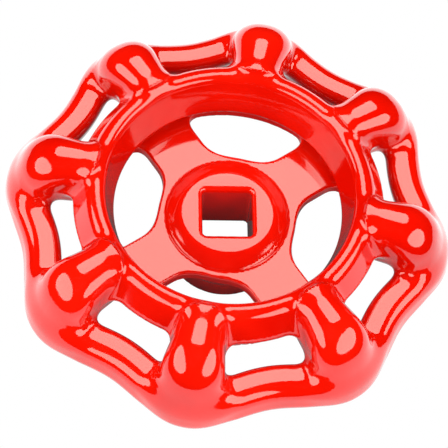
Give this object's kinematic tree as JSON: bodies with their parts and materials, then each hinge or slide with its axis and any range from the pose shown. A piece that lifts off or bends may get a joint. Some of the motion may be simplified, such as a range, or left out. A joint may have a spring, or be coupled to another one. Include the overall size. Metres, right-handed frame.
{
  "type": "handwheel",
  "caption": "Cast handwheel with rounded grip lobes, a raised inner ring and a square stem socket, for turning a small gate valve.",
  "frame": {"origin": "centre of the hub underside, where the wheel rests on the shoulder of the valve stem", "axes": "+Z along the stem axis, up and out of the valve; +X through the middle of lobe_1; the socket flats are turned 11.7 degrees from X and Y"},
  "size_m": [0.063, 0.063, 0.0184],
  "materials": {
    "coat": "gloss"
  },
  "bodies": {
    "root": {"hub": "coat", "spoke_1": "coat", "spoke_2": "coat", "spoke_3": "coat", "spoke_4": "coat", "ring": "coat", "lobe_1": "coat", "lobe_2": "coat", "lobe_3": "coat", "lobe_4": "coat", "lobe_5": "coat", "lobe_6": "coat", "lobe_7": "coat", "lobe_8": "coat", "rim_arc_1": "coat", "rim_arc_2": "coat", "rim_arc_3": "coat", "rim_arc_4": "coat", "rim_arc_5": "coat", "rim_arc_6": "coat", "rim_arc_7": "coat", "rim_arc_8": "coat"}
  },
  "joints": []
}
